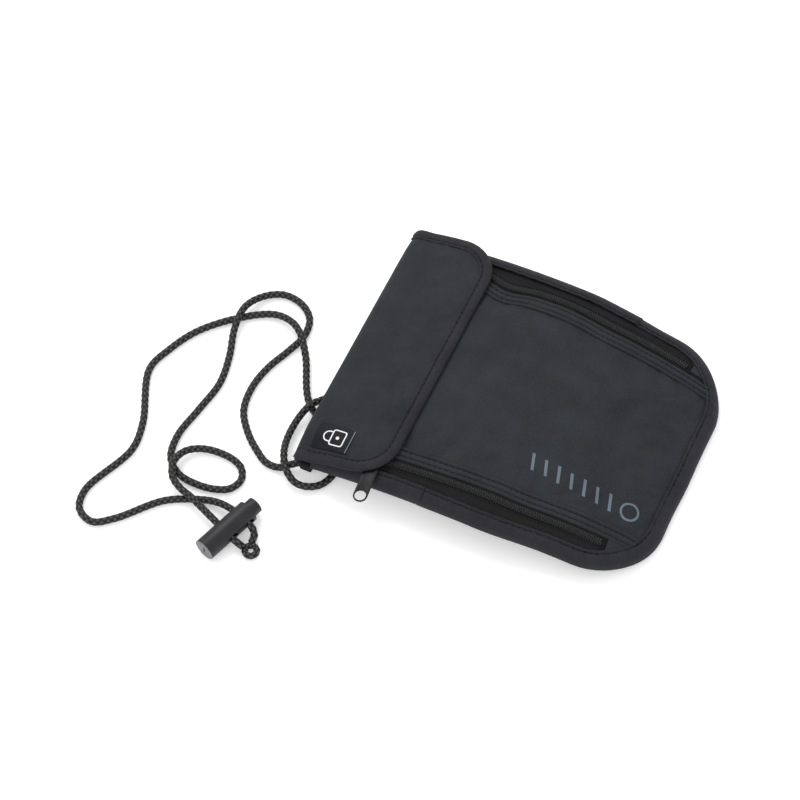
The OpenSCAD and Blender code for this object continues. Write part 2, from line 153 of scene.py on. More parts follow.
def spline(points, step):
    """Evenly spaced points on a smooth curve through a list of unevenly spaced points."""
    p = np.asarray(points, float)
    p = np.vstack([2 * p[0] - p[1], p, 2 * p[-1] - p[-2]])
    gap = np.sqrt(np.linalg.norm(np.diff(p, axis=0), axis=1))
    t = np.linspace(0, 1, 24, endpoint=False)[:, None]
    dense = []
    for k in range(1, len(p) - 2):
        a, b, c = gap[k - 1:k + 2]
        chord = (p[k + 1] - p[k]) / b
        leave = b * ((p[k] - p[k - 1]) / a - (p[k + 1] - p[k - 1]) / (a + b) + chord)
        arrive = b * (chord - (p[k + 2] - p[k]) / (b + c) + (p[k + 2] - p[k + 1]) / c)
        dense.append((2 * t ** 3 - 3 * t ** 2 + 1) * p[k] + (t ** 3 - 2 * t ** 2 + t) * leave
                     + (3 * t ** 2 - 2 * t ** 3) * p[k + 1] + (t ** 3 - t ** 2) * arrive)
    dense = np.vstack(dense + [p[-2:-1]])
    reach = lengths_along(dense)
    at = np.linspace(0, reach[-1], max(2, int(round(reach[-1] / step))) + 1)
    return along_line(at, reach, dense), reach[-1]


def along_line(at, reach, points):
    """Points on a line at given distances along it, where reach is lengths_along(points)."""
    return np.stack([np.interp(at, reach, column) for column in np.transpose(points)], 1)


def lengths_along(points):
    """How far along a line each of its points is."""
    return np.concatenate([[0], np.cumsum(np.linalg.norm(np.diff(points, axis=0), axis=1))])


def frames(path, closed=False):
    """Two unit vectors across the path at each point, with no twist to speak of."""
    if closed:
        ahead = np.roll(path, -1, 0) - np.roll(path, 1, 0)
    else:
        ahead = np.gradient(path, axis=0)
    ahead /= np.linalg.norm(ahead, axis=1)[:, None]
    side = np.cross(ahead, [0, 0, 1.0])
    side /= np.maximum(np.linalg.norm(side, axis=1), 1e-9)[:, None]
    return side, np.cross(side, ahead)


def tube_grid(path, radius, sides):
    """Rings of points round a path, for loft."""
    side, up = frames(path)
    ring = np.linspace(0, 2 * math.pi, sides, endpoint=False)[None]
    return path[:, None] + radius * (np.cos(ring)[..., None] * side[:, None]
                                     + np.sin(ring)[..., None] * up[:, None])


def braid_bulge(turn, along):
    """How far a braided surface stands out, from 0 between the strands to 1."""
    pitch = BRAID_PITCH * MM
    a = STRANDS * turn + 2 * math.pi * along / pitch
    b = STRANDS * turn - 2 * math.pi * along / pitch
    return np.sqrt(np.abs(np.cos(a / 2) * np.cos(b / 2)))


def braided_tube(name, path, radius, material, closed=False):
    """A mesh tube round a path given in metres, with the braid in its surface."""
    sides = 30
    side, up = frames(path, closed)
    along = lengths_along(path)[:, None]
    turn = np.linspace(0, 2 * math.pi, sides, endpoint=False)[None]
    if closed:
        total = along[-1, 0] + np.linalg.norm(path[0] - path[-1])
        pitch = BRAID_PITCH * MM
        along = along * (round(total / pitch) * pitch / total)
    bulge = braid_bulge(turn, along)
    r = (radius + BRAID_DEPTH * MM * (bulge - 0.8))[..., None]
    points = path[:, None] + r * (np.cos(turn)[..., None] * side[:, None]
                                  + np.sin(turn)[..., None] * up[:, None])
    if not closed:
        taper = np.array([0.35, 0.75, 0.95])[:, None, None]
        points[:3] = path[:3, None] + (points[:3] - path[:3, None]) * taper
        points[-3:] = path[-3:, None] + (points[-3:] - path[-3:, None]) * taper[::-1]
    tube = loft(name, points / MM, material, wrap_u=closed, wrap_v=True, caps=not closed)
    # The bulge is kept on the mesh so that the cord material can paint shade between the strands
    # and light on their crowns.
    layer = tube.data.attributes.new("bulge", "FLOAT", "POINT")
    layer.data.foreach_set("value", bulge.ravel())
    return tube


# ---------------------------------------------------------------- mesh tools

def add_mesh(name, points, faces, material, smooth=True):
    """A mesh object from points in millimetres."""
    mesh = bpy.data.meshes.new(name)
    mesh.from_pydata((np.asarray(points, float).reshape(-1, 3) * MM).tolist(), [], faces)
    mesh.materials.append(material)
    mesh.update()
    obj = bpy.data.objects.new(name, mesh)
    bpy.context.scene.collection.objects.link(obj)
    tidy = bmesh.new()
    tidy.from_mesh(mesh)
    bmesh.ops.recalc_face_normals(tidy, faces=tidy.faces)
    tidy.to_mesh(mesh)
    tidy.free()
    mesh.polygons.foreach_set("use_smooth", [smooth] * len(mesh.polygons))
    return obj


def loft(name, grid, material, wrap_u=False, wrap_v=True, caps=True):
    """A skin over a grid of points: rows along u, each row running along v."""
    rows, cols = grid.shape[:2]
    faces = []
    for i in range(rows if wrap_u else rows - 1):
        for k in range(cols if wrap_v else cols - 1):
            i2, k2 = (i + 1) % rows, (k + 1) % cols
            faces.append((i * cols + k, i2 * cols + k, i2 * cols + k2, i * cols + k2))
    if caps and not wrap_u:
        faces.append(tuple(range(cols)))
        faces.append(tuple(range((rows - 1) * cols, rows * cols)))
    return add_mesh(name, grid, faces, material)


def corners(mesh):
    """The places of a mesh's points, in metres."""
    return np.array([v.co[:] for v in mesh.vertices])


def merge(name, pieces):
    """Joins several mesh objects into the first, under one name."""
    bpy.ops.object.select_all(action="DESELECT")
    for piece in pieces:
        piece.select_set(True)
    bpy.context.view_layer.objects.active = pieces[0]
    bpy.ops.object.join()
    pieces[0].name = name
    return pieces[0]


def place(obj, body, slot, *nodes):
    """Rides a piece on a body and hides the CAD nodes it stands for. The finish given as slot is
    not used.
    """
    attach(obj, body)
    if nodes:
        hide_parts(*nodes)
    return obj


def noise(x, y, size, seed):
    """Smooth random waves of about the given size in millimetres, from -1 to 1."""
    rng = np.random.default_rng(seed)
    x, y = np.broadcast_arrays(np.asarray(x, float), np.asarray(y, float))
    total = np.zeros(x.shape)
    for _ in range(7):
        angle, phase = rng.uniform(0, 2 * math.pi, 2)
        wave = 2 * math.pi / (size * rng.uniform(0.7, 1.6))
        total += np.sin(wave * (x * math.cos(angle) + y * math.sin(angle)) + phase)
    return total / 3.5


# ---------------------------------------------------------------- plan and heights

def on_arch(x, y, h):
    """Points at height h above the arched back face, from plan places."""
    x, y, h = np.broadcast_arrays(np.asarray(x, float), np.asarray(y, float), np.asarray(h, float))
    z = ARC_Z + np.sqrt((ARCH_R + h) ** 2 - (y - ARC_Y) ** 2)
    return np.stack([x + MIDDLE_X, y, z], -1)


# Direction and outward normal of the leaning part of the right side, and the middle of
# the corner below it
SIDE = np.array([HALF_W - BOTTOM_W / 2, BEND_Y + END_Y])
SIDE /= np.linalg.norm(SIDE)
SIDE_N = np.array([SIDE[1], -SIDE[0]])
CORNER_Y = CORNER_R - END_Y
CORNER_X = (HALF_W - CORNER_R * SIDE_N[0]
            + SIDE[0] * (CORNER_Y - BEND_Y + CORNER_R * SIDE_N[1]) / SIDE[1])
CORNER = np.array([CORNER_X, CORNER_Y])


def line(a, b, count):
    """Points from a up to, and without, b."""
    t = np.linspace(0, 1, count, endpoint=False)[:, None]
    return np.asarray(a, float) * (1 - t) + np.asarray(b, float) * t


def mirrored(half):
    """A whole outline from its right half, from the left top round to the right top."""
    left = half * [-1, 1]
    return np.vstack([left[:-1], half[::-1]])


def outline(inset, top=None):
    """The pouch's outline, inset by a distance, from the left top to the right top."""
    top = MOUTH_Y if top is None else top
    bend = np.array([HALF_W - inset, BEND_Y])
    reach = CORNER_R - inset
    foot = CORNER + reach * SIDE_N
    first = math.atan2(SIDE_N[1], SIDE_N[0])
    turn = np.linspace(first, -math.pi / 2, 48)[:, None]
    arc = CORNER + reach * np.hstack([np.cos(turn), np.sin(turn)])
    straight = 76
    half = np.vstack([line((HALF_W - inset, top), bend, straight), line(bend, foot, 34), arc[:-1],
                      line(arc[-1], (0, arc[-1][1]), 22), [(0, arc[-1][1])]])
    # The bend in the side is eased, as a tape can't turn sharply.
    a = straight - 10
    b = straight + 11
    for _ in range(30):
        half[a:b, 0] = (half[a - 1:b - 1, 0] + 2 * half[a:b, 0] + half[a + 1:b + 1, 0]) / 4
    return mirrored(half)


def inset_of(x, y):
    """How far a plan place is inside the pouch's outline."""
    px, py = np.broadcast_arrays(np.abs(np.asarray(x, float)), np.asarray(y, float))
    upper = HALF_W - px
    lower = (HALF_W - px) * SIDE_N[0] + (BEND_Y - py) * SIDE_N[1]
    d = np.minimum(np.minimum(upper, lower), py + END_Y)
    dx, dy = px - CORNER[0], py - CORNER[1]
    in_corner = (dx > 0) & (dx * SIDE[0] + dy * SIDE[1] < 0)
    return np.where(in_corner, CORNER_R - np.hypot(dx, dy), d)


# Height of the front fabric in the middle and at the rim
FULL_H = 8.1
RIM_H = 4.3


def rise(d):
    """Height of the front fabric at a distance from the edge: low at the rim, full inside."""
    return FULL_H - (FULL_H - RIM_H) * np.exp(-(np.maximum(d, 0) / 6.5) ** 1.2)


def front_h(x, y):
    """Height of the front fabric's face."""
    d = inset_of(x, y)
    inner = np.clip((d - 20) / 25, 0, 1)
    return rise(d) + inner * (0.4 + 0.55 * noise(x, y, 52, 3) + 0.16 * noise(x, y, 20, 4))


def bell(y, middle, width):
    """1 at the middle, and near 0 at two widths from it."""
    return np.exp(-((y - middle) / width) ** 2)


def zip_point(side, w, b):
    """Plan place in a zip's own frame: w towards the middle from the teeth, b along them."""
    w, b = np.broadcast_arrays(np.asarray(w, float), np.asarray(b, float) - ARC_Y)
    x = ZIP_X - w * math.cos(ZIP_LEAN) + b * math.sin(ZIP_LEAN)
    y = ARC_Y + w * math.sin(ZIP_LEAN) + b * math.cos(ZIP_LEAN)
    if side > 0:
        x = x - 2.9 * bell(y, 30, 10) + 1.3 * bell(y, -2, 14) - bell(y, -72, 22)
    else:
        x = x + 0.7 * bell(y, -24, 15)
    return side * x, y


def clip(polygon, point, normal):
    """The part of a convex polygon on the side of a line to which the normal points."""
    out = []
    ahead = (polygon - point) @ normal
    for i, p in enumerate(polygon):
        k = (i + 1) % len(polygon)
        if ahead[i] >= 0:
            out.append(p)
        if (ahead[i] >= 0) != (ahead[k] >= 0):
            t = ahead[i] / (ahead[i] - ahead[k])
            out.append(p + (polygon[k] - p) * t)
    return np.array(out)


def clip_zip(polygon, side, low=None, high=None):
    """Keeps the strip of a plan between two distances from a zip's teeth."""
    inward = np.array([-side * math.cos(ZIP_LEAN), math.sin(ZIP_LEAN)])
    if low is not None:
        polygon = clip(polygon, np.array(zip_point(side, low, 0)), inward)
    if high is not None:
        polygon = clip(polygon, np.array(zip_point(side, high, 0)), -inward)
    return polygon


def resample(polygon, spacing):
    """The border of a closed plan, with its points about evenly spaced."""
    out = []
    for a, b in zip(polygon, np.roll(polygon, -1, 0)):
        length = np.linalg.norm(b - a)
        if length > 1e-4:
            out.append(line(a, b, max(1, int(round(length / spacing)))))
    points = np.vstack(out)
    keep = np.linalg.norm(points - np.roll(points, 1, 0), axis=1) > 0.25 * spacing
    return points[keep]


def inside(polygon, points, margin):
    """Which points lie inside a convex polygon by at least a margin."""
    area = np.sum(polygon[:, 0] * np.roll(polygon[:, 1], -1)
                  - np.roll(polygon[:, 0], -1) * polygon[:, 1])
    good = np.ones(len(points), bool)
    for a, b in zip(polygon, np.roll(polygon, -1, 0)):
        edge = (b - a) / max(np.linalg.norm(b - a), 1e-9)
        inward = np.array([-edge[1], edge[0]]) * np.sign(area)
        good &= (points - a) @ inward > margin
    return good


def cloth_panel(name, polygon, material, surface, thick, spacing=1.6):
    """A piece of fabric over a convex plan. surface(x, y, depth) gives the points at a
    depth below the face; the edge is rounded over."""
    border = resample(polygon, spacing)
    low, high = border.min(0), border.max(0)
    xs = np.arange(low[0], high[0], spacing)
    ys = np.arange(low[1], high[1], spacing * 0.87)
    grid = np.array([(x + (i % 2) * spacing / 2, y) for i, y in enumerate(ys) for x in xs])
    grid = grid[inside(polygon, grid, 0.55 * spacing)]
    plan = np.vstack([border, grid])
    count = len(border)
    edges = [(i, (i + 1) % count) for i in range(count)]
    verts, _, tris, *_ = delaunay_2d_cdt([Vector(p) for p in plan], edges, [], 1, 1e-6)
    plan = np.array([v[:] for v in verts])
    centre = plan[:count].mean(0)
    inward = centre - plan[:count]
    inward /= np.linalg.norm(inward, axis=1)[:, None]
    x, y = plan[:, 0], plan[:, 1]
    top = surface(x, y, 0)
    bottom = surface(x, y, thick)
    rim = surface(x[:count], y[:count], thick / 2)
    total = len(plan)
    points = np.vstack([top, bottom, rim])
    shy = plan[:count] + inward * min(0.25, thick / 2)
    points[:count] = surface(shy[:, 0], shy[:, 1], 0)
    points[total:total + count] = surface(shy[:, 0], shy[:, 1], thick)
    faces = [tuple(t) for t in tris] + [tuple(total + i for i in reversed(t)) for t in tris]
    for i in range(count):
        k = (i + 1) % count
        faces.append((i, k, 2 * total + k, 2 * total + i))
        faces.append((2 * total + i, 2 * total + k, total + k, total + i))
    return add_mesh(name, points, faces, material)


def stitch_line(name, points, normals, pitch=2.9, length=2.15, radius=THREAD_R):
    """A row of thread stitches along a line of points in millimetres."""
    reach = lengths_along(points)
    sides = 6
    ring = np.linspace(0, 2 * math.pi, sides, endpoint=False)
    # A stitch is a tube of six rings, thin and sunk into the cloth at both its ends.
    places = np.array([-1, -0.82, -0.4, 0.4, 0.82, 1]) * length / 2
    radii = np.array([0.15, 0.7, 1, 1, 0.7, 0.15]) * radius
    heights = np.array([-0.25, -0.02, 0.06, 0.06, -0.02, -0.25])
    last = (len(places) - 1) * sides
    out = []
    faces = []
    for n in range(int(reach[-1] // pitch)):
        at = (n + 0.5) * pitch + places
        spine = along_line(at, reach, points)
        up = along_line(at, reach, normals)
        ahead = spine[-1] - spine[0]
        ahead /= max(np.linalg.norm(ahead), 1e-9)
        side = np.cross(ahead, up)
        start = n * len(places) * sides
        out.append([spine[i] + up[i] * heights[i]
                    + radii[i] * (np.cos(a) * side[i] * 1.15 + np.sin(a) * up[i])
                    for i in range(len(places)) for a in ring])
        for i in range(start, start + last, sides):
            for k in range(sides):
                k2 = (k + 1) % sides
                faces.append((i + k, i + k2, i + sides + k2, i + sides + k))
        faces.append(tuple(start + k for k in range(sides)))
        faces.append(tuple(start + last + k for k in range(sides)))
    return add_mesh(name, np.array(out), faces, THREAD)


def arch_up(y):
    """Unit vectors square to the arch."""
    turn = np.arcsin((np.asarray(y, float) - ARC_Y) / ARCH_R)
    return np.stack([np.zeros_like(turn), np.sin(turn), np.cos(turn)], -1)


def softened(name, node, width, material):
    """A copy of a CAD node's mesh with its sharp edges rounded."""
    source = frame["nodes"][node]
    obj = bpy.data.objects.new(name, source.data.copy())
    bpy.context.scene.collection.objects.link(obj)
    work = bmesh.new()
    work.from_mesh(obj.data)
    bmesh.ops.remove_doubles(work, verts=work.verts, dist=0.5e-5)
    bmesh.ops.dissolve_limit(work, angle_limit=math.radians(1), verts=work.verts, edges=work.edges)
    work.to_mesh(obj.data)
    work.free()
    bevel = obj.modifiers.new("bevel", "BEVEL")
    bevel.width = width * MM
    bevel.segments = 3
    bevel.limit_method = "ANGLE"
    bevel.angle_limit = math.radians(35)
    bevel.use_clamp_overlap = True
    bpy.context.view_layer.objects.active = obj
    bpy.ops.object.select_all(action="DESELECT")
    obj.select_set(True)
    bpy.ops.object.modifier_apply(modifier="bevel")
    obj.data.materials.clear()
    obj.data.materials.append(material)
    obj.data.shade_smooth()
    obj.data.set_sharp_from_angle(angle=math.radians(40))
    return obj


# ---------------------------------------------------------------- materials

def new_material(name):
    """A material with its node tree and its shader node."""
    material = bpy.data.materials.new(name)
    material.use_nodes = True
    tree = material.node_tree
    return material, tree, tree.nodes["Principled BSDF"]


def set_sockets(node, values):
    """Constants on a node's own sockets."""
    for name, value in values.items():
        node.inputs[name].default_value = value


def ramp(tree, source, low, high, first, last):
    """A colour ramp between two colours."""
    node = tree.nodes.new("ShaderNodeValToRGB")
    node.color_ramp.elements[0].position = first
    node.color_ramp.elements[1].position = last
    node.color_ramp.elements[0].color = (*low, 1)
    node.color_ramp.elements[1].color = (*high, 1)
    tree.links.new(source, node.inputs["Fac"])
    return node.outputs["Color"]


def grain(tree, coordinates, size, detail=3.0):
    """Noise with features of about a size in millimetres."""
    node = tree.nodes.new("ShaderNodeTexNoise")
    set_sockets(node, {"Scale": 1 / (size * MM), "Detail": detail})
    tree.links.new(coordinates, node.inputs["Vector"])
    return node.outputs["Fac"]


def stripes(tree, coordinates, pitch, direction, wobble=0.0):
    """Waves with a pitch in millimetres along X, Y, Z or the diagonal."""
    node = tree.nodes.new("ShaderNodeTexWave")
    node.bands_direction = direction
    set_sockets(node, {"Scale": 2 * math.pi / 20 / (pitch * MM), "Distortion": wobble,
                       "Detail": 1})
    tree.links.new(coordinates, node.inputs["Vector"])
    return node.outputs["Fac"]


def combine(tree, kind, a, b):
    """A math node, whose two inputs are numbers or other nodes' outputs."""
    node = tree.nodes.new("ShaderNodeMath")
    node.operation = kind
    for socket, value in zip(node.inputs, (a, b)):
        if isinstance(value, (int, float)):
            socket.default_value = value
        else:
            tree.links.new(value, socket)
    return node.outputs["Value"]


def bump(tree, shader, height, strength, distance):
    """Relief from a height, with its depth in millimetres."""
    node = tree.nodes.new("ShaderNodeBump")
    set_sockets(node, {"Strength": strength, "Distance": distance * MM})
    tree.links.new(height, node.inputs["Height"])
    tree.links.new(node.outputs["Normal"], shader.inputs["Normal"])


def woven(name, color, pitch, rough, sheen, across=("X", "Y"), depth=0.07, fade=0.28,
          strength=0.7):
    """Woven cloth: crossing yarns, slubs, a patchy tone and a dusty bloom."""
    material, tree, shader = new_material(name)
    where = tree.nodes.new("ShaderNodeTexCoord").outputs["Object"]
    warp = stripes(tree, where, pitch, across[0], 0.6)
    weft = stripes(tree, where, pitch * 1.15, across[1], 0.6)
    yarn = combine(tree, "MULTIPLY", warp, weft)
    patch = grain(tree, where, 14)
    fine = grain(tree, where, 0.9, 5)
    blend = combine(tree, "ADD", combine(tree, "MULTIPLY", patch, 0.5),
                    combine(tree, "MULTIPLY", fine, 0.5))
    dark = tuple(c * (1 - fade) for c in color)
    light = tuple(min(1, c * (1 + fade)) for c in color)
    tone = ramp(tree, blend, dark, light, 0.32, 0.68)
    tree.links.new(tone, shader.inputs["Base Color"])
    roughness = combine(tree, "ADD", combine(tree, "MULTIPLY", fine, 0.16), rough - 0.08)
    tree.links.new(roughness, shader.inputs["Roughness"])
    set_sockets(shader, {"Sheen Weight": sheen, "Sheen Roughness": 0.45,
                         "Sheen Tint": (0.82, 0.88, 1, 1), "Specular IOR Level": 0.14})
    relief = combine(tree, "ADD", yarn, combine(tree, "MULTIPLY", fine, 0.8))
    bump(tree, shader, relief, strength, depth)
    return material


def moulded(name, color, rough, texture=0.4, depth=0.02, metallic=0.0, coat=0.0, shine=0.5):
    """Moulded plastic, rubber or enamel: a fine grain, scuffs and a slightly uneven gloss."""
    material, tree, shader = new_material(name)
    where = tree.nodes.new("ShaderNodeTexCoord").outputs["Object"]
    fine = grain(tree, where, texture, 4)
    broad = grain(tree, where, 5)
    tone = ramp(tree, broad, tuple(c * 0.85 for c in color),
                tuple(min(1, c * 1.2) for c in color), 0.3, 0.7)
    tree.links.new(tone, shader.inputs["Base Color"])
    roughness = combine(tree, "ADD", combine(tree, "MULTIPLY", broad, 0.2), rough - 0.1)
    tree.links.new(roughness, shader.inputs["Roughness"])
    set_sockets(shader, {"Metallic": metallic, "Coat Weight": coat, "Specular IOR Level": shine})
    bump(tree, shader, fine, 0.5, depth)
    return material


def braid(name, color):
    """Braided yarn: painted shade between the strands and painted light on their crowns, with a
    scatter of shiny filaments.
    """
    material, tree, shader = new_material(name)
    where = tree.nodes.new("ShaderNodeTexCoord").outputs["Object"]
    bulge = tree.nodes.new("ShaderNodeAttribute")
    bulge.attribute_name = "bulge"
    fibre = grain(tree, where, 0.35, 4)
    lit = combine(tree, "MULTIPLY", bulge.outputs["Fac"],
                  combine(tree, "ADD", fibre, 0.5))
    # Painted shade and light: near black where the bulge is low, between the strands, and bright
    # on the strands' crowns.
    tone = ramp(tree, lit, tuple(c * 0.08 for c in color),
                tuple(c * 2.1 for c in color), 0.42, 1.05)
    tree.links.new(tone, shader.inputs["Base Color"])
    roughness = combine(tree, "ADD", combine(tree, "MULTIPLY", fibre, 0.3), 0.4)
    tree.links.new(roughness, shader.inputs["Roughness"])
    shader.inputs["Specular IOR Level"].default_value = 0.25
    bump(tree, shader, fibre, 0.8, 0.12)
    return material


CLOTH = woven("pack_cloth", (0.0215, 0.0242, 0.0290), 0.42, 0.66, 0.035)
# A slightly darker copy of the body cloth for the flap and fold: painted shade that evens out the
# extra light on the raised flap.
FLAP_CLOTH = woven("flap_cloth", (0.0205, 0.0222, 0.0265), 0.42, 0.66, 0.035)
LINING = woven("lining_cloth", (0.016, 0.016, 0.018), 0.3, 0.6, 0.04)
BINDING = woven("binding_tape", (0.0215, 0.0212, 0.0262), 0.62, 0.7, 0.04, depth=0.09)
ZIP_TAPE = woven("zip_tape", (0.0110, 0.0108, 0.0118), 0.55, 0.8, 0.03, ("DIAGONAL", "Y"), 0.12,
                 strength=0.8)
TEETH = moulded("zip_teeth", (0.0095, 0.0095, 0.0105), 0.34, 0.6)
THREAD = woven("sewing_thread", (0.0055, 0.0055, 0.0065), 0.25, 0.62, 0.05, depth=0.05)
CORD = braid("cord_braid", (0.034, 0.034, 0.033))
LABEL = woven("label_cloth", (0.0065, 0.0068, 0.0105), 0.3, 0.5, 0.03, depth=0.03)
ICON = woven("label_icon", (0.78, 0.79, 0.80), 0.3, 0.6, 0.0, depth=0.03, fade=0.06)
LABEL_END = woven("label_fold", (0.16, 0.19, 0.21), 0.3, 0.6, 0.1, depth=0.03)
PRINT = woven("grey_print", (0.115, 0.150, 0.180), 0.42, 0.6, 0.0, depth=0.03, fade=0.14)
# The foil's colour is dark: painted shade for the inside of the pocket, where the liner's edge
# shows at the mouth.
FOIL = woven("shield_foil", (0.06, 0.06, 0.065), 0.5, 0.4, 0.0, depth=0.05)
FOIL.node_tree.nodes["Principled BSDF"].inputs["Metallic"].default_value = 0.8
FUZZ = woven("hook_and_loop", (0.014, 0.014, 0.015), 1.1, 0.9, 0.3, depth=0.35, fade=0.4,
             strength=1.0)
ENAMEL = moulded("zip_enamel", (0.008, 0.008, 0.009), 0.3, 0.8, 0.01, coat=0.3)
RUBBER = moulded("pull_rubber", (0.0030, 0.0028, 0.0036), 0.42, 0.3, 0.02, shine=0.2)
PLASTIC = moulded("lock_plastic", (0.0165, 0.0165, 0.0200), 0.44, 0.35, 0.03, shine=0.3)
# A paler copy of the lock plastic: painted light for the barrel's end face.
PAINTED_LIGHT_PLASTIC = moulded("lock_end_painted_light", (0.125, 0.125, 0.135), 0.5, 0.35, 0.03)
STEEL = moulded("spring_steel", (0.5, 0.5, 0.52), 0.25, 0.5, 0.005, 1.0)


# ---------------------------------------------------------------- neck cord

def make_cord(name, route, nodes, exit_at):
    """A strand of the neck cord along a route given by the height of its underside."""
    radius = CORD_D * MM / 2
    path, length = spline([(x, y, z + radius) for x, y, z in route], CORD_STEP * MM)
    cord = braided_tube(name, path, radius, CORD)
    place(cord, "root", "cord_braid", *nodes)


def cord_exit(point):
    """The middle of the cord where it leaves its tab."""
    return [point[0], point[1], point[2] + CORD_D * MM / 2]


def make_knot():
    """The ring in which both ends of the cord are melted together."""
    low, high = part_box("cord_knot")
    middle = (low + high) / 2
    rope = (high.z - low.z) / 2
    ring = (high.x - low.x) / 2 - rope
    turn = np.linspace(0, 2 * math.pi, 72, endpoint=False)
    path = np.stack([middle.x + ring * np.cos(turn), middle.y + ring * np.sin(turn),
                     np.full(72, middle.z)], 1)
    knot = braided_tube("cord_ring_knot", path, rope, CORD, closed=True)
    return place(knot, "root", "cord_braid", "cord_knot")


# ---------------------------------------------------------------- cord lock

def make_lock():
    """The cord lock: a barrel whose end face has painted light, a paler copy of its plastic, and
    the button pressed into it.
    """
    barrel = softened("lock_barrel", "cord_lock_barrel", 0.45, PLASTIC)
    # Faces turned outward along the spring get the paler copy: painted light on the end face.
    barrel.data.materials.append(PAINTED_LIGHT_PLASTIC)
    low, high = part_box("cord_lock_spring")
    outward = Vector((low.x - high.x, high.y - low.y, 0)).normalized()
    for face in barrel.data.polygons:
        if face.normal.dot(outward) > 0.9:
            face.material_index = 1
    place(barrel, "root", "lock_plastic", "cord_lock_barrel")
    button = softened("lock_button", "cord_lock_plunger", 0.5, PLASTIC)
    place(button, "plunger", "lock_plastic", "cord_lock_plunger")
    return [barrel, button]


lock = make_lock()
knot = make_knot()
make_cord("cord_left", LEFT_ROUTE, ["neck_cord_left"], cord_exit(LEFT_ROUTE[0]))
make_cord("cord_right", RIGHT_ROUTE[::-1], ["neck_cord_right"], cord_exit(RIGHT_ROUTE[-1]))


# ---------------------------------------------------------------- pouch body

def body_surface(lift):
    """A surface a little above the front fabric, for cloth_panel."""
    return lambda x, y, depth: on_arch(x, y, front_h(x, y) + lift - depth)


def make_back():
    """The back of the pouch, slightly uneven, with its edge inside the binding."""
    def surface(x, y, depth):
        return on_arch(x, y, 0.95 - depth + 0.12 * noise(x, y, 45, 9))

    back = cloth_panel("back_cloth", outline(1.2), CLOTH, surface, 0.6, 2.4)
    place(back, "root", "pack_cloth", "back_panel")


def make_divider():
    """The lining between the main pocket and the zip pockets, just below the front."""
    divider = cloth_panel("divider_cloth", outline(4), LINING, body_surface(-1.75), 0.2, 3)
    place(divider, "root", "lining_cloth", "divider_panel")


def relax(obj, held, pressure, frames_count, cap, shrink=0.0):
    """Lets a thin sheet settle as cloth with some of its points held, and applies it. No
    point moves further than cap millimetres."""
    group = obj.vertex_groups.new(name="held")
    for index, weight in enumerate(held):
        if weight > 0:
            group.add([index], float(weight), "REPLACE")
    cloth = obj.modifiers.new("cloth", "CLOTH")
    settings = {"quality": 6, "mass": 0.05, "tension_stiffness": 12, "compression_stiffness": 12,
                "shear_stiffness": 6, "bending_stiffness": 0.2, "use_pressure": True,
                "uniform_pressure_force": pressure, "vertex_group_mass": "held",
                "pin_stiffness": 1, "shrink_min": shrink}
    for key, value in settings.items():
        setattr(cloth.settings, key, value)
    cloth.settings.effector_weights.gravity = 0
    cloth.point_cache.frame_start = 1
    cloth.point_cache.frame_end = frames_count
    scene = bpy.context.scene
    for step in range(1, frames_count + 1):
        scene.frame_set(step)
    evaluated = obj.evaluated_get(bpy.context.evaluated_depsgraph_get())
    after = corners(evaluated.data)
    obj.modifiers.remove(cloth)
    scene.frame_set(1)
    before = corners(obj.data)
    move = after - before
    reach = np.linalg.norm(move, axis=1)[:, None]
    move *= np.minimum(1, cap * MM / np.maximum(reach, 1e-9))
    obj.data.vertices.foreach_set("co", (before + move).ravel())
    obj.data.update()


def make_front():
    """The middle of the front, between the two facings."""
    plan = outline(4.5)
    for side in (-1, 1):
        plan = clip_zip(plan, side, low=7.4)
    spacing = 1.5
    front = cloth_panel("front_cloth", plan, CLOTH, body_surface(-0.05), 0.5, spacing)
    where = corners(front.data)[:, :2] / MM - [MIDDLE_X, 0]
    border = resample(plan, spacing)
    reach = np.array([np.linalg.norm(border - p, axis=1).min() for p in where])
    held = np.clip(1 - (reach - 2) / 6, 0, 1) ** 2
    relax(front, held, 0.25, 14, 1.2, -0.012)
    place(front, "root", "pack_cloth", "front_panel")
    return front


def zip_rows(low_y, high_y, spacing=1.2):
    """Places along a zip from the bottom to the top, in the zip's own frame."""
    return np.linspace(low_y, high_y, int((high_y - low_y) / spacing))


def strip_end(side, w):
    """How far down a line beside a zip reaches before it meets the binding."""
    b = np.linspace(-95, 0, 400)
    x, y = zip_point(side, w, b)
    return b[np.argmax(inset_of(x, y) > BINDING_W - 1.2)]


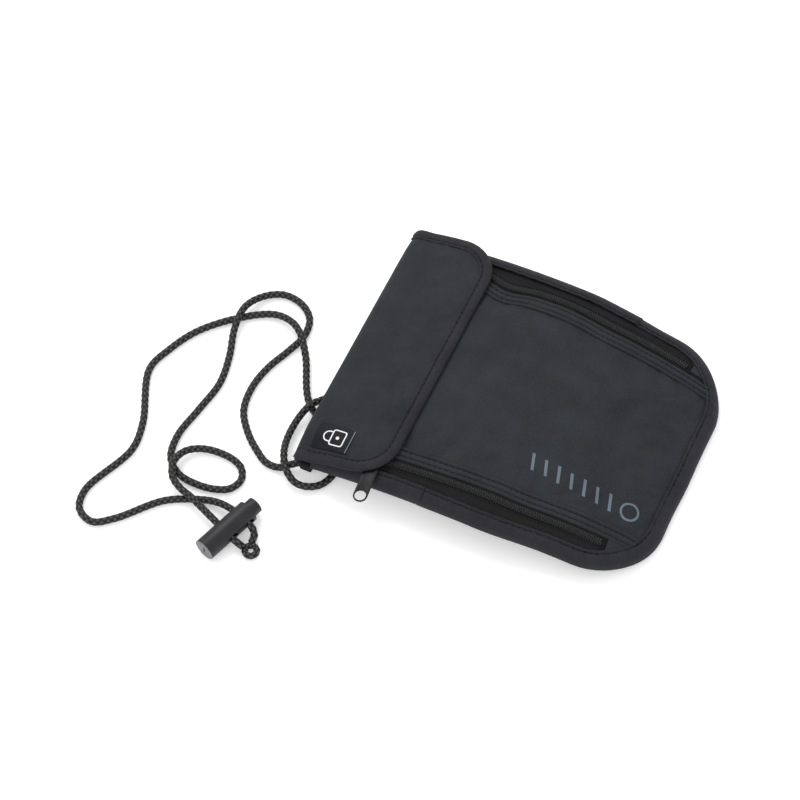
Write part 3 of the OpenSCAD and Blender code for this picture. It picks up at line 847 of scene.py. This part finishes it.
def make_facing(side, name, node):
    """A turned-in strip of cloth along the zip, raised at its fold, with two seams."""
    section = [(2.95, -0.25), (2.9, 0.1), (3.0, 0.35), (3.4, 0.48), (3.9, 0.82), (4.3, 0.8),
               (4.65, 0.5), (4.9, 0.14), (5.15, 0.5), (5.6, 0.86), (6.3, 1.0), (7.1, 0.88),
               (7.55, 0.5), (7.8, 0.14), (8.05, 0.55), (8.5, 1.0), (9.0, 1.12), (9.5, 0.9),
               (9.75, 0.4), (9.7, -0.1), (9.3, -0.3), (6.3, -0.3), (3.6, -0.3)]
    w = np.array([p[0] for p in section])
    lift = np.array([p[1] for p in section])
    ends = np.array([strip_end(side, v) for v in w])
    t = np.linspace(0, 1, 128)[:, None]
    b = ends[None] * (1 - t) + (MOUTH_Y - 0.6) * t
    wobble = 0.12 * np.sin(b / 2.9) + 0.1 * noise(b, w * 0, 17, 21 + side)
    x, y = zip_point(side, w[None] + 0.15 * noise(b, 0, 30, 31 + side), b)
    top = lift > 0
    h = front_h(x, y) + lift[None] + np.where(top, wobble * lift[None], 0)
    y = np.minimum(y, MOUTH_Y)
    facing = loft(name, on_arch(x, y, h), CLOTH)
    place(facing, "root", "pack_cloth", node)
    for k, at in enumerate((4.9, 7.9)):
        x, y = zip_point(side, at, zip_rows(strip_end(side, at) + 1, MOUTH_Y - 2))
        h = front_h(x, y) + FACING_SEAM_LIFT
        seam = stitch_line(f"{name}_seam_{k + 1}", on_arch(x, y, h), arch_up(y))
        place(seam, "root", "thread")


def make_tape(side, name, node):
    """Both halves of a zip's tape: one runs out to the binding, one under the facing."""
    inner = clip_zip(clip_zip(outline(4.8), side, low=-2), side, high=10)
    outer = clip_zip(outline(5.2), side, high=-2)
    tape = merge(name, [cloth_panel(f"{name}_{k}", plan, ZIP_TAPE, body_surface(-0.25), 0.3, 1.6)
                        for k, plan in enumerate((inner, outer))])
    place(tape, "root", "zip_tape", node)
    x, y = zip_point(side, -2.9, zip_rows(COIL_LOW - 1, MOUTH_Y - 3))
    seam = stitch_line(f"{name}_seam_1", on_arch(x, y, front_h(x, y) + TAPE_SEAM_LIFT),
                       arch_up(y), 1.9, 1.5, 0.13)
    place(seam, "root", "thread")


def make_coil(side, name, node):
    """The zip's teeth: a nylon coil along the edge of each tape, which mesh in the middle."""
    pitch = 1.15
    wire_r = 0.21
    low = COIL_LOW + 0.3
    turns = int((TEETH_TOP - low) / pitch)
    pieces = []
    for half in (-1, 1):
        phase = np.linspace(0, 2 * math.pi * turns, turns * 12)
        b = low + pitch * (phase / (2 * math.pi) + (0.5 if half > 0 else 0))
        wave = np.cos(phase)
        w = half * (0.72 - 0.84 * wave)
        lift = 0.36 + 0.3 * np.sin(phase) + 0.1 * wave
        x, y = zip_point(side, w, b)
        path = on_arch(x, y, front_h(x, y) + lift)
        pieces.append(loft(f"{name}_{half}", tube_grid(path, wire_r, 7), TEETH))
    coil = merge(name, pieces)
    place(coil, "root", "zip_teeth", node)


def make_bar(side, name, node):
    """A bar of close stitches across the foot of the teeth."""
    b = COIL_LOW - 0.9 + 0.75 * np.sin(np.linspace(0, 26 * math.pi, 180))
    w = np.linspace(-4.6, 2.9, 180)
    x, y = zip_point(side, w, b)
    path = on_arch(x, y, front_h(x, y) + 0.3)
    bar = loft(name, tube_grid(path, THREAD_R, 6), THREAD)
    place(bar, "root", "thread", node)


def make_end_tab(side, name, node):
    """The small corner of cloth below a zip."""
    plan = clip_zip(outline(4.6), side, high=3.4)
    foot = np.array(zip_point(side, 0, COIL_LOW - 1.9))
    lean = np.array([-side * math.sin(ZIP_LEAN), -math.cos(ZIP_LEAN)])
    plan = clip(plan, foot, lean)
    tab = cloth_panel(name, plan, CLOTH, body_surface(0.32), 0.5, 1.3)
    place(tab, "root", "pack_cloth", node)


def binding_section():
    """The tape's section round an edge, as distances inwards and heights."""
    out = []
    for d, lift in ((6.7, 0.02), (6.8, 0.6), (6.5, 0.95), (6.05, 0.9), (5.65, 0.5), (5.35, 0.12),
                    (5.05, 0.5), (4.6, 0.85), (3.8, 1.0), (2.8, 1.0), (1.8, 0.8), (1.0, 0.42),
                    (0.45, -0.1)):
        out.append((d, float(rise(d)) + lift))
    out += [(0.1, 2.6), (0, 1.9), (0.12, 1.2), (0.5, 0.55), (1.1, 0.2), (2.0, 0.05), (3.6, 0.02),
            (4.8, 0.06), (5.2, 0.2), (5.6, 0.06), (6.3, 0.05), (6.55, 0.3), (5.2, 0.5),
            (2.6, 0.5), (1.1, 1.0), (0.8, 1.9), (1.1, float(rise(1.1)) - 0.25),
            (3.0, float(rise(3.0)) - 0.1), (5.2, float(rise(5.2)) - 0.05)]
    return np.array(out)


def make_binding(name, keep, node, proud, seed):
    """One length of binding tape. keep picks its stretch of the outline; proud is how far
    it stands out over the tape that it overlaps."""
    rings = []
    full = outline(0)
    keep = keep(full)
    reach = lengths_along(full)
    for d, h in binding_section():
        plan = outline(d)[keep]
        along = reach[keep]
        pucker = 0.15 * np.sin(along * 2 * math.pi / 5.8) + 0.3 * noise(along, 0, 24, seed)
        lift = pucker * min(1, d / 3) if h > 2.5 else 0
        if h > 1:
            lift = lift + proud
        pull = 0.3 * noise(along, 0, 33, seed + 1) * (1 if d < 4 else 0.4)
        if d < 1:
            pull = pull + 0.6 * proud
        centre = plan - plan.mean(0)
        centre /= np.linalg.norm(centre, axis=1)[:, None]
        plan = plan + centre * pull[:, None]
        rings.append(on_arch(plan[:, 0], plan[:, 1], h + lift))
    tape = loft(name, np.stack(rings, 1), BINDING)
    place(tape, "root", "binding_tape", node)
    plan = outline(5.3)[keep]
    h = rise(5.3) + EDGE_SEAM_LIFT + proud
    for label, height, sign in (("front", h, 1), ("back", 0.14, -1)):
        up = arch_up(plan[:, 1]) * sign
        seam = stitch_line(f"{name}_seam_{label}", on_arch(plan[:, 0], plan[:, 1], height), up)
        place(seam, "root", "thread")


def make_bindings():
    """The tape round the lower edge, and the two upper side tapes that overlap its ends."""
    left_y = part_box("side_binding_left")[0].y / MM
    right_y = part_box("side_binding_right")[0].y / MM
    top = ANCHOR_Y + 0.8
    overlap = 2.5

    def lower(p):
        left = (p[:, 0] <= 0) & (p[:, 1] < left_y)
        return left | ((p[:, 0] > 0) & (p[:, 1] < right_y))

    def upper_left(p):
        return (p[:, 0] < 0) & (p[:, 1] > left_y - overlap) & (p[:, 1] < top)

    def upper_right(p):
        return (p[:, 0] > 0) & (p[:, 1] > right_y - overlap) & (p[:, 1] < top)

    make_binding("edge_tape", lower, "body_binding", 0, 51)
    make_binding("edge_tape_left", upper_left, "side_binding_left", 0.5, 61)
    make_binding("edge_tape_right", upper_right, "side_binding_right", 0.5, 71)


make_back()
make_divider()
front = make_front()
for side, word in ((-1, "left"), (1, "right")):
    make_tape(side, f"zip_tape_cloth_{word}", f"zip_tape_{word}")
    make_coil(side, f"zip_coil_wire_{word}", f"zip_coil_{word}")
    make_facing(side, f"facing_cloth_{word}", f"facing_{word}")
    make_bar(side, f"zip_bar_thread_{word}", f"zip_bar_{word}")
    make_end_tab(side, f"end_tab_cloth_{word}", f"zip_end_tab_{word}")
    # The folded tab of tape that holds an end of the cord; it has the dark zip tape colour,
    # painted shade under the flap
    place(softened(f"anchor_tab_{word}", f"cord_anchor_{word}", 0.9, ZIP_TAPE), "root",
          "binding_tape", f"cord_anchor_{word}")
    place(softened(f"zip_slider_{word}", f"slider_{word}", 0.15, ENAMEL), f"slider_{word}",
          "zip_metal", f"slider_{word}")
    place(softened(f"zip_pull_{word}", f"pull_{word}", 0.14, RUBBER), f"pull_{word}",
          "pull_rubber", f"pull_{word}")
make_bindings()


# ---------------------------------------------------------------- printed motif

def drop_on(target, plan, lift):
    """Points on a piece's upper face, straight below plan places, in millimetres."""
    sky = 0.1
    tree = BVHTree.FromPolygons([v.co for v in target.data.vertices],
                                [p.vertices[:] for p in target.data.polygons])
    out = []
    for x, y in plan:
        start = Vector(((x + MIDDLE_X) * MM, y * MM, sky))
        hit = tree.ray_cast(start, Vector((0, 0, -1)))[0]
        out.append(np.array(hit) / MM + np.array([0, 0, lift]))
    return np.array(out)


def ribbon(name, target, edges, material, lift=0.11):
    """A thin flat mark on a piece, between two lists of plan places."""
    one, two = [resample_open(e, 0.5) for e in edges]
    count = max(len(one), len(two))
    one, two = [stretch_to(e, count) for e in (one, two)]
    rows = [one * (1 - t) + two * t for t in (0, 0.33, 0.67, 1)]
    grid = np.stack([drop_on(target, row, lift) for row in rows], 1)
    return loft(name, grid, material, wrap_v=False, caps=False)


def resample_open(points, spacing):
    """A line of plan places, evenly spaced."""
    points = np.asarray(points, float)
    reach = lengths_along(points)
    at = np.linspace(0, reach[-1], max(3, int(reach[-1] / spacing) + 1))
    return along_line(at, reach, points)


def stretch_to(points, count):
    """A line of plan places with another count of points."""
    t = np.linspace(0, len(points) - 1, count)
    return along_line(t, np.arange(len(points)), points)


def make_print():
    """A plain motif of a ring and a row of slanted bars, along the pouch's left side."""
    turn = np.linspace(0, 2 * math.pi, 49)
    centre = np.array([-32.5, -68])
    circle = np.stack([np.cos(turn), np.sin(turn)], 1)
    marks = [ribbon("ring", front, [centre + 4.6 * circle, centre + 3.5 * circle], PRINT)]
    wide = np.array([0, 1.5])
    for k in range(7):
        middle = np.array([-32.6 + 0.4 * k, -59 + 6.6 * k])
        reach = np.array([3.8 if k % 2 else 4.2, 1.2])
        edge = np.array([middle - reach, middle + reach])
        marks.append(ribbon(f"bar_{k}", front, [edge, edge + wide], PRINT))
    place(merge("print_motif", marks), "root", "pack_cloth")


make_print()


# ---------------------------------------------------------------- flap

# Height of the flap's face and its thickness, and where its fold starts above and ends below
FLAP_TOP = 12.15
FLAP_T = 0.9
FOLD_START = 77
BACK_END = 79


def flap_outline(inset, top):
    """The flap's outline, from its left top round its free edge to its right top."""
    reach = FLAP_R - inset
    corner = np.array([HALF_W - FLAP_R, FLAP_LOW_Y + FLAP_R])
    turn = np.linspace(0, -math.pi / 2, 40)[:, None]
    arc = corner + reach * np.hstack([np.cos(turn), np.sin(turn)])
    half = np.vstack([line((HALF_W - inset, top), arc[0], 34), arc[:-1],
                      line(arc[-1], (0, arc[-1][1]), 40), [(0, arc[-1][1])]])
    return mirrored(half)


def flap_inset(x, y):
    """How far a plan place is inside the flap's outline."""
    px, py = np.broadcast_arrays(np.abs(np.asarray(x, float)), np.asarray(y, float))
    d = np.minimum(HALF_W - px, py - FLAP_LOW_Y)
    dx, dy = px - (HALF_W - FLAP_R), py - (FLAP_LOW_Y + FLAP_R)
    return np.where((dx > 0) & (dy < 0), FLAP_R - np.hypot(dx, dy), d)


def corner_drop(x):
    """How far the fold's ends sink: the left one more, with nothing under it."""
    x = np.asarray(x, float)
    return np.where(x < 0, 4.4, 1.4) * np.exp(-((HALF_W - np.abs(x)) / 9) ** 2)


def flap_h(x, y):
    """Height of the flap's face: full in the middle, drooping to its edges."""
    d = flap_inset(x, y)
    droop = 0.75 * np.exp(-np.maximum(d, 0) / 5)
    body = np.clip(d / 18, 0, 1)
    flat_y = 54
    near_fold = np.clip((np.asarray(y, float) - flat_y) / (FOLD_START - flat_y), 0, 1) ** 2
    droop = droop + near_fold * corner_drop(x)
    return FLAP_TOP - droop + body * (0.15 + 0.32 * noise(x, y, 50, 81)
                                      + 0.12 * noise(x, y, 20, 82))


def bezier(t, a, b, c, d):
    """Points on a cubic curve from a to d."""
    t = np.asarray(t)[..., None]
    return (1 - t) ** 3 * a + 3 * (1 - t) ** 2 * t * b + 3 * (1 - t) * t ** 2 * c + t ** 3 * d


def fold_curve(start, start_dir, end, end_dir, pull, count=60):
    """A curve in the Y-Z plane with its points, their distances and outward normals."""
    t = np.linspace(0, 1, count)
    points = bezier(t, start, start + pull * start_dir, end - pull * end_dir, end)
    ahead = np.gradient(points, axis=0)
    ahead /= np.linalg.norm(ahead, axis=1)[:, None]
    reach = lengths_along(points)
    return points, reach, np.stack([-ahead[:, 1], ahead[:, 0]], 1)


TOP_POINT = on_arch(0, FOLD_START, FLAP_TOP)[1:]
BACK_POINT = on_arch(0, BACK_END, 0.75)[1:]
MID = np.array([END_Y + 0.6, (TOP_POINT[1] + BACK_POINT[1]) / 2])
SLOPE = (FOLD_START - ARC_Y) / (ARCH_R + FLAP_TOP)
AHEAD = np.array([math.sqrt(1 - SLOPE ** 2), -SLOPE])
DOWN = np.array([0, -1.0])
HOMEWARD = np.array([-0.985, 0.17])
UPPER, UPPER_REACH, UPPER_N = fold_curve(TOP_POINT, AHEAD, MID, DOWN, 4.6)
LOWER, LOWER_REACH, LOWER_N = fold_curve(MID, DOWN, BACK_POINT, HOMEWARD, 4.4)
FOLD_END = FOLD_START + UPPER_REACH[-1]


def flap_map(x, v, depth):
    """Points of the flap: v is the plan place up to the fold, then the way round it."""
    x, v, depth = np.broadcast_arrays(np.asarray(x, float), np.asarray(v, float),
                                      np.asarray(depth, float))
    y_flat = np.minimum(v, FOLD_START)
    flat = on_arch(x, y_flat, flap_h(x, y_flat) - depth)
    s = np.clip(v - FOLD_START, 0, UPPER_REACH[-1])
    y, z, ny, nz = [np.interp(s, UPPER_REACH, c) for c in (*UPPER.T, *UPPER_N.T)]
    drop = flap_h(x, np.full_like(x, FOLD_START)) - FLAP_TOP
    out = (drop + corner_drop(x)) * (1 - s / UPPER_REACH[-1]) - corner_drop(x)
    fold = np.stack([x + MIDDLE_X, y + ny * (0.3 * out - depth), z + out * 0.95 - nz * depth], -1)
    return np.where((v <= FOLD_START)[..., None], flat, fold)


def make_flap_blend(obj, slot, *nodes):
    """Hides the CAD nodes that a piece of the flap stands for and bakes its placing into its mesh.
    """
    if nodes:
        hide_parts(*nodes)
    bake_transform(obj)


def make_flap():
    """The flap's cloth, from its free edge up and half way round the fold."""
    inset = 0.9
    shoulder = 2.2
    plan = flap_outline(inset, FOLD_END)
    plan = plan[plan[:, 1] < FOLD_END - shoulder]
    ease = np.linspace(0, math.pi / 2, 8)[1:]
    right = np.stack([HALF_W - inset - 2.6 * (1 - np.cos(ease)),
                      FOLD_END - shoulder + shoulder * np.sin(ease)], 1)
    plan = np.vstack([right[::-1] * [-1, 1], plan, right])
    panel = cloth_panel("flap_cloth_panel", plan, FLAP_CLOTH, flap_map, FLAP_T, 1.6)
    free_y = FOLD_START - 2
    v = corners(panel.data) / MM
    d = np.minimum(flap_inset(v[:, 0] - MIDDLE_X, v[:, 1]), free_y - v[:, 1])
    held = np.clip(1 - (d - 5.5) / 8, 0, 1) ** 2
    held[v[:, 1] > free_y] = 1
    relax(panel, held, 0.2, 12, 0.5, -0.012)
    make_flap_blend(panel, "flap_cloth", "flap_panel", "flap_lining")


def make_flap_binding():
    """The tape round the flap, given as distances inwards and depths below its face."""
    top = FOLD_END - 1.2
    section = [(6.2, 0.1), (6.2, -0.4), (5.85, -0.64), (5.35, -0.56), (5.0, -0.3), (4.7, 0.0),
               (4.4, -0.32), (4.0, -0.6), (3.1, -0.8), (2.0, -0.74), (1.0, -0.46), (0.3, -0.05),
               (0.02, 0.5), (0.1, 1.0), (0.6, 1.32), (1.6, 1.42), (4.3, 1.4), (4.7, 1.25),
               (5.1, 1.4), (5.9, 1.3), (5.95, 0.95), (4.0, 0.92), (1.2, 0.8), (1.0, 0.45),
               (1.2, 0.1), (4.0, 0.0)]
    reach = lengths_along(flap_outline(0, top))
    pucker = 0.12 * np.sin(reach * 2 * math.pi / 6.1) + 0.14 * noise(reach, 0, 24, 91)
    rings = []
    for d, depth in section:
        plan = flap_outline(d, top)
        lift = pucker * min(1, d / 3) if depth < 0 else 0
        rings.append(flap_map(plan[:, 0], plan[:, 1], depth - lift))
    tape = loft("flap_edge_tape", np.stack(rings, 1), BINDING)
    make_flap_blend(tape, "binding_tape", "flap_binding")
    seam_inset = 4.7
    plan = flap_outline(seam_inset, FOLD_START + 4)
    face = flap_map(plan[:, 0], plan[:, 1], -FLAP_SEAM_LIFT)
    up = face - flap_map(plan[:, 0], plan[:, 1], 0.7)
    seam = stitch_line("flap_seam_face", face, up)
    make_flap_blend(seam, "thread")
    plan = flap_outline(seam_inset, FOLD_START - 1)
    under = flap_map(plan[:, 0], plan[:, 1], 1.3)
    place(stitch_line("flap_seam_under", under, -arch_up(plan[:, 1])), "flap", "thread")


def make_fold():
    """The lower half of the fold, from the back cloth up to the spine's middle."""
    half = HALF_W - 1.6
    s = np.linspace(0, LOWER_REACH[-1], 12)
    y, z, ny, nz = [np.interp(s, LOWER_REACH, c) for c in (*LOWER.T, *LOWER_N.T)]
    x = np.linspace(-half, half, 120)
    z = z[None] - corner_drop(x)[:, None] * (1 - s / LOWER_REACH[-1])[None]
    tabs_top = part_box("cord_anchor_left")[1].z / MM + FLAP_T + 0.2
    beyond = np.clip((np.abs(x) - (HALF_W - 9)) / 1.5, 0, 1)[:, None]
    z = np.maximum(z, z * (1 - beyond) + tabs_top * beyond)
    outer = np.stack([np.broadcast_to(x[:, None], z.shape) + MIDDLE_X,
                      np.broadcast_to(y, z.shape), z], -1)
    depth = FLAP_T * np.stack([0 * ny, ny, nz], -1)
    inner = outer - depth[None]
    grid = np.concatenate([outer, inner[:, ::-1]], 1)
    fold = loft("fold_cloth", grid, FLAP_CLOTH)
    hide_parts("flap_spine")
    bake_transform(fold)


def make_label():
    """A woven label with a padlock, folded under at its lower end."""
    low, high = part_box("flap_label")
    x0 = low.x / MM - MIDDLE_X
    x1 = high.x / MM - MIDDLE_X
    y0 = low.y / MM
    y1 = high.y / MM
    plan = np.array([(x0, y0), (x1, y0), (x1, y1), (x0, y1)])

    def surface(x, y, depth):
        lip = 0.35 * np.exp(-np.maximum(y - y0, 0) / 1.1)
        return flap_map(x, y, depth - 0.45 - lip)

    label = cloth_panel("label_cloth_patch", plan, LABEL, surface, 0.3, 0.9)
    place(label, "flap", "label_cloth", "flap_label")
    fold = ribbon("label_fold_line", label, [[(x0 + 0.3, y0 + 0.15), (x1 - 0.3, y0 + 0.15)],
                                             [(x0 + 0.3, y0 + 0.6), (x1 - 0.3, y0 + 0.6)]],
                  LABEL_END, 0.07)
    place(fold, "flap", "label_cloth")
    middle = np.array([(x0 + x1) / 2 + 0.4, (y0 + y1) / 2 - 0.3])

    def band(points, width):
        """The two edges of a band of a width along a line of points."""
        points = np.asarray(points, float)
        ahead = np.gradient(points, axis=0)
        ahead /= np.linalg.norm(ahead, axis=1)[:, None]
        side = np.stack([-ahead[:, 1], ahead[:, 0]], 1) * width / 2
        return [middle + points + side, middle + points - side]

    corner = np.linspace(0, math.pi / 2, 6)
    r = 0.9
    across = 3.9 - r
    tall = 3.2 - r
    case = []
    for cx, cy, first in ((across, tall, 0), (-across, tall, math.pi / 2),
                          (-across, -tall, math.pi), (across, -tall, -math.pi / 2)):
        case += [(cx + r * math.cos(a + first), cy + r * math.sin(a + first) - 1.9)
                 for a in corner]
    case.append(case[0])
    shackle = [(2.5, 1.3)]
    shackle += [(2.5 * math.cos(a), 2.6 + 2.5 * math.sin(a)) for a in np.linspace(0, math.pi, 20)]
    shackle.append((-2.5, 1.3))
    ring = np.linspace(0, 2 * math.pi, 21)
    hole = [(0.5 * math.cos(a), 0.5 * math.sin(a) - 1.7) for a in ring]
    icon = [ribbon("case", label, band(resample_open(case, 0.35), 0.58), ICON, 0.07),
            ribbon("shackle", label, band(resample_open(shackle, 0.35), 0.58), ICON, 0.07),
            ribbon("keyhole", label, band(hole, 0.7), ICON, 0.07)]
    place(merge("label_padlock", icon), "flap", "label_cloth")


make_flap()
make_flap_binding()
make_fold()
make_label()


# ---------------------------------------------------------------- CAD nodes that stay

KEPT = {"shield_liner": FOIL, "loop_strip": FUZZ, "hook_strip": FUZZ, "cord_lock_spring": STEEL}
for node, material in KEPT.items():
    mesh = frame["nodes"][node].data
    mesh.materials.clear()
    mesh.materials.append(material)


# ---------------------------------------------------------------- floor and light

def make_stage():
    """A large plain floor under the pouch."""
    half = 3000
    plan = [(-half, -half, 0), (half, -half, 0), (half, half, 0), (-half, half, 0)]
    add_mesh("floor", plan, [(0, 1, 2, 3)], white_floor())


def white_floor():
    """Matt white, lit a little from within, as in a bright product photograph."""
    material, _, shader = new_material("floor")
    set_sockets(shader, {"Base Color": (0.93, 0.93, 0.93, 1), "Roughness": 0.9,
                         "Specular IOR Level": 0.1, "Emission Color": (1, 1, 1, 1),
                         "Emission Strength": 0.28})
    return material


def soft_light(name, place_at, size, power):
    """A round area light that looks at the pouch, with its size in metres."""
    data = bpy.data.lights.new(name, "AREA")
    data.shape = "DISK"
    data.size = size
    data.energy = power
    light = bpy.data.objects.new(name, data)
    bpy.context.scene.collection.objects.link(light)
    light.location = place_at
    light.rotation_euler = (-Vector(place_at)).to_track_quat("-Z", "Y").to_euler()


def make_light():
    """Even studio light from all round, with a soft key and a weak fill."""
    world = bpy.data.worlds.new("studio")
    world.use_nodes = True
    set_sockets(world.node_tree.nodes["Background"], {"Color": (1, 1, 1, 1), "Strength": 0.86})
    bpy.context.scene.world = world
    soft_light("key", (0.9, 0.9, 1.6), 1.2, 17)
    soft_light("fill", (-1.4, 0.2, 1.2), 1.4, 6)
    bpy.context.scene.view_settings.view_transform = "Standard"


make_stage()
make_light()
